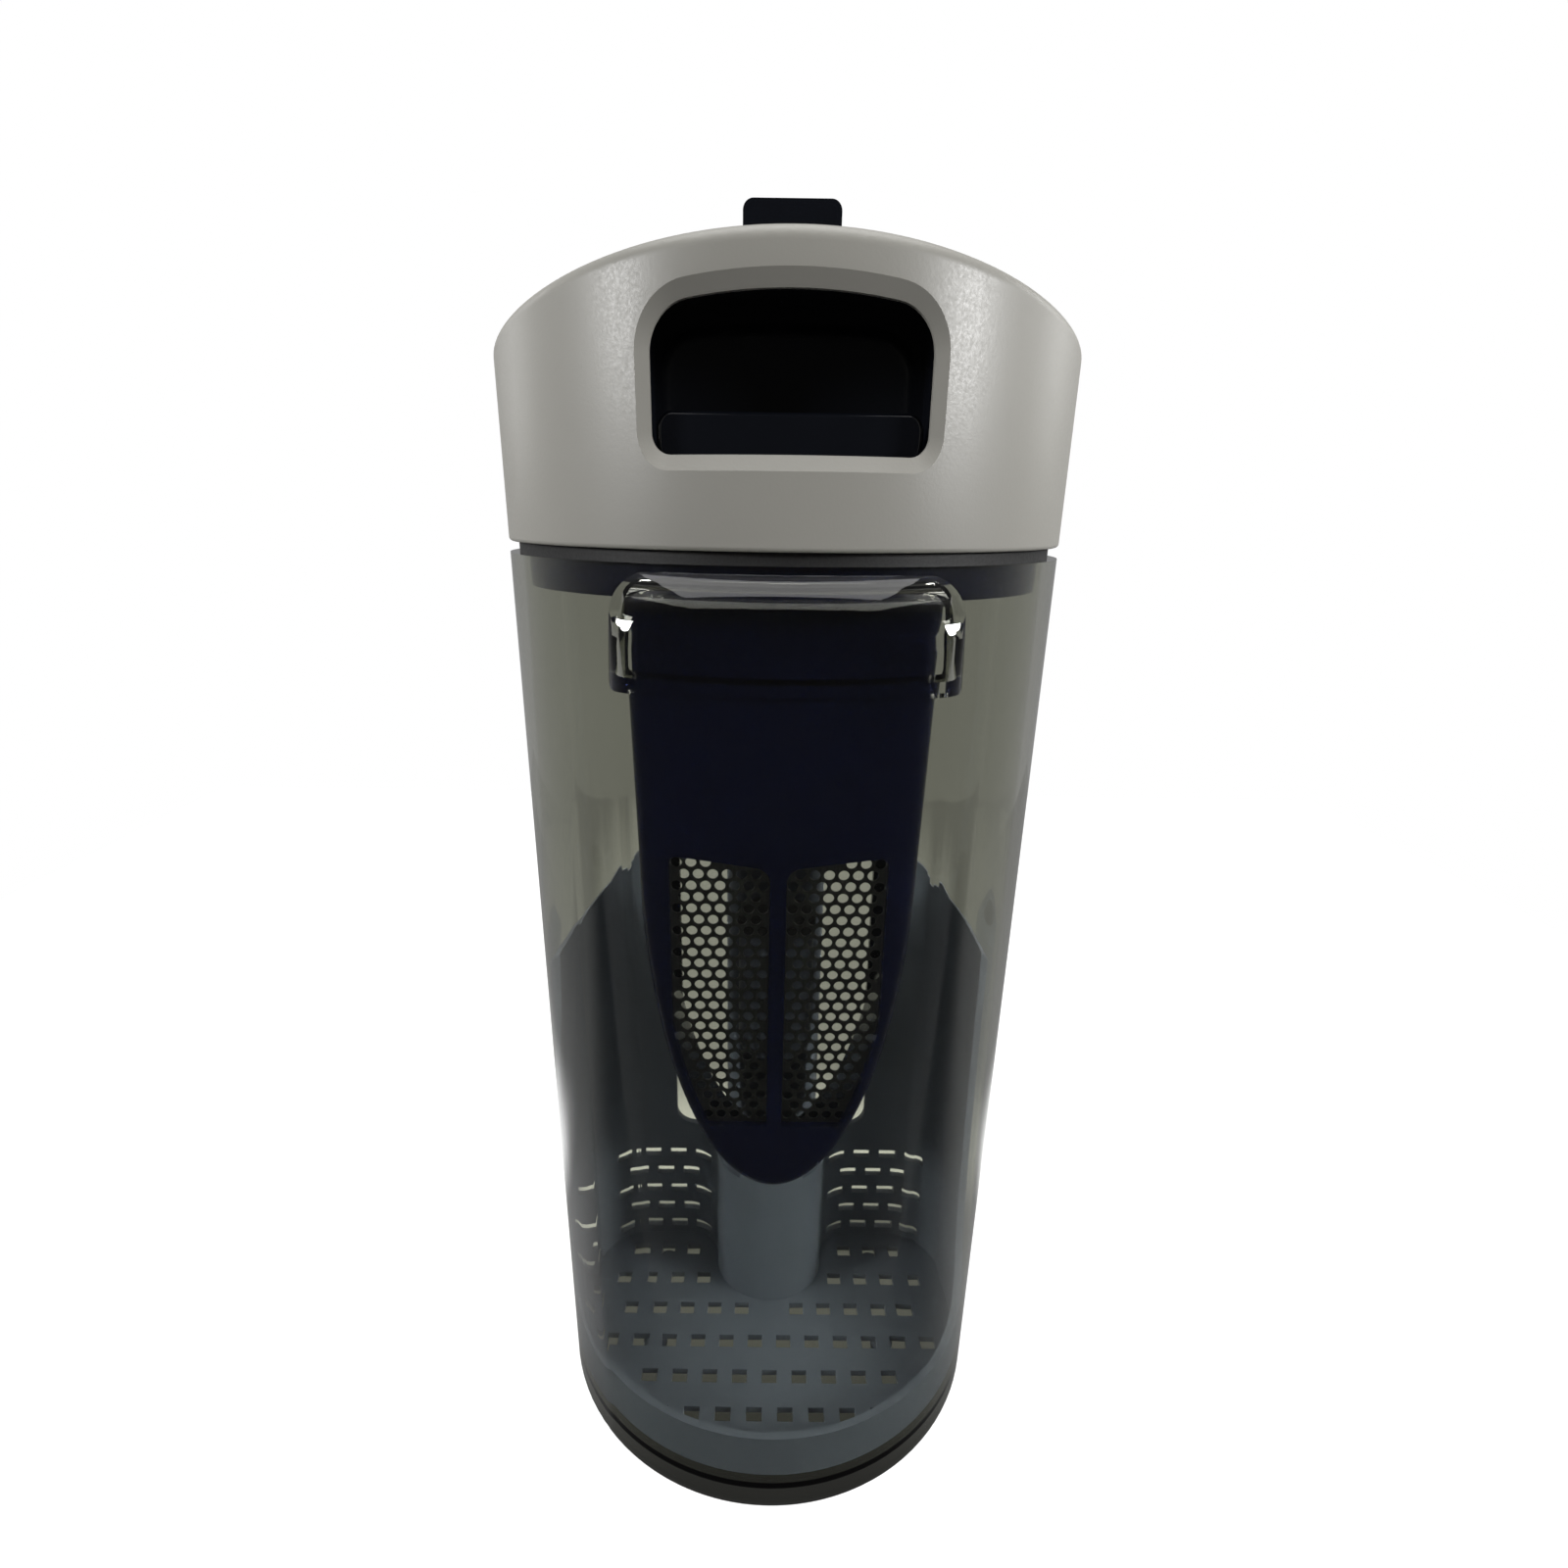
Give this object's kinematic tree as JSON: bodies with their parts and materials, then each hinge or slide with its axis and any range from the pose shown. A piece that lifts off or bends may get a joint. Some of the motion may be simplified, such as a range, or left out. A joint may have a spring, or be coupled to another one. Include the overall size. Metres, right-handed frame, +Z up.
{
  "type": "vacuum dirty water tank",
  "caption": "Tall clear waste-water tank with a round front and flat back, a plug-in lid with a finger latch, a hanging float cage with steel mesh and a perforated strainer basket.",
  "frame": {"origin": "on the standing plane, at the centre of the round front's plan arc", "axes": "+X to the right seen from the front, +Y towards the flat back, +Z up"},
  "size_m": [0.1084, 0.0877, 0.2622],
  "materials": {
    "smoke_plastic": "clear glossy smoke-grey moulding",
    "warm_grey_plastic": "satin moulding",
    "black_plastic": "glossy",
    "navy_plastic": "glossy",
    "charcoal_plastic": "satin",
    "black_rubber": "matt",
    "perforated_steel": "dull perforated sheet",
    "steel": "bright",
    "filter_paper": "matt paper",
    "filter_foam": "open foam"
  },
  "bodies": {
    "tank": {"tank_shell": "smoke_plastic", "inlet_pipe": "charcoal_plastic", "inlet_seal": "black_rubber", "strainer_basket": "charcoal_plastic"},
    "lid": {"lid_shell": "warm_grey_plastic", "grip_cup": "black_plastic", "latch_spring": "steel", "lid_liner": "navy_plastic", "rim_seal": "black_rubber", "strainer_cage": "navy_plastic", "steel_sheet_left": "perforated_steel", "steel_sheet_right": "perforated_steel", "float_rod": "steel", "filter_frame": "black_plastic", "filter_pleats": "filter_paper", "filter_foam": "filter_foam", "filter_seal": "black_rubber", "lid_screws": "steel", "cage_screws": "steel"},
    "latch": {"release_bar": "black_plastic", "latch_bolt": "black_plastic", "latch_screw": "steel"},
    "float": {"float_body": "charcoal_plastic", "float_disc": "black_rubber"}
  },
  "joints": [
    {"name": "lid_lift", "type": "slide", "parent": "tank", "child": "lid", "axis": [0, 0, 1], "range_m": [0, 0.15]},
    {"name": "latch_press", "type": "slide", "parent": "lid", "child": "latch", "axis": [0, 0, -1], "range_m": [0, 0.0045], "stiffness_N_per_m": 600, "springref_m": -0.004, "deforming": ["latch_spring"]},
    {"name": "float_rise", "type": "slide", "parent": "lid", "child": "float", "axis": [0, 0, 1], "range_m": [0, 0.0775]}
  ]
}
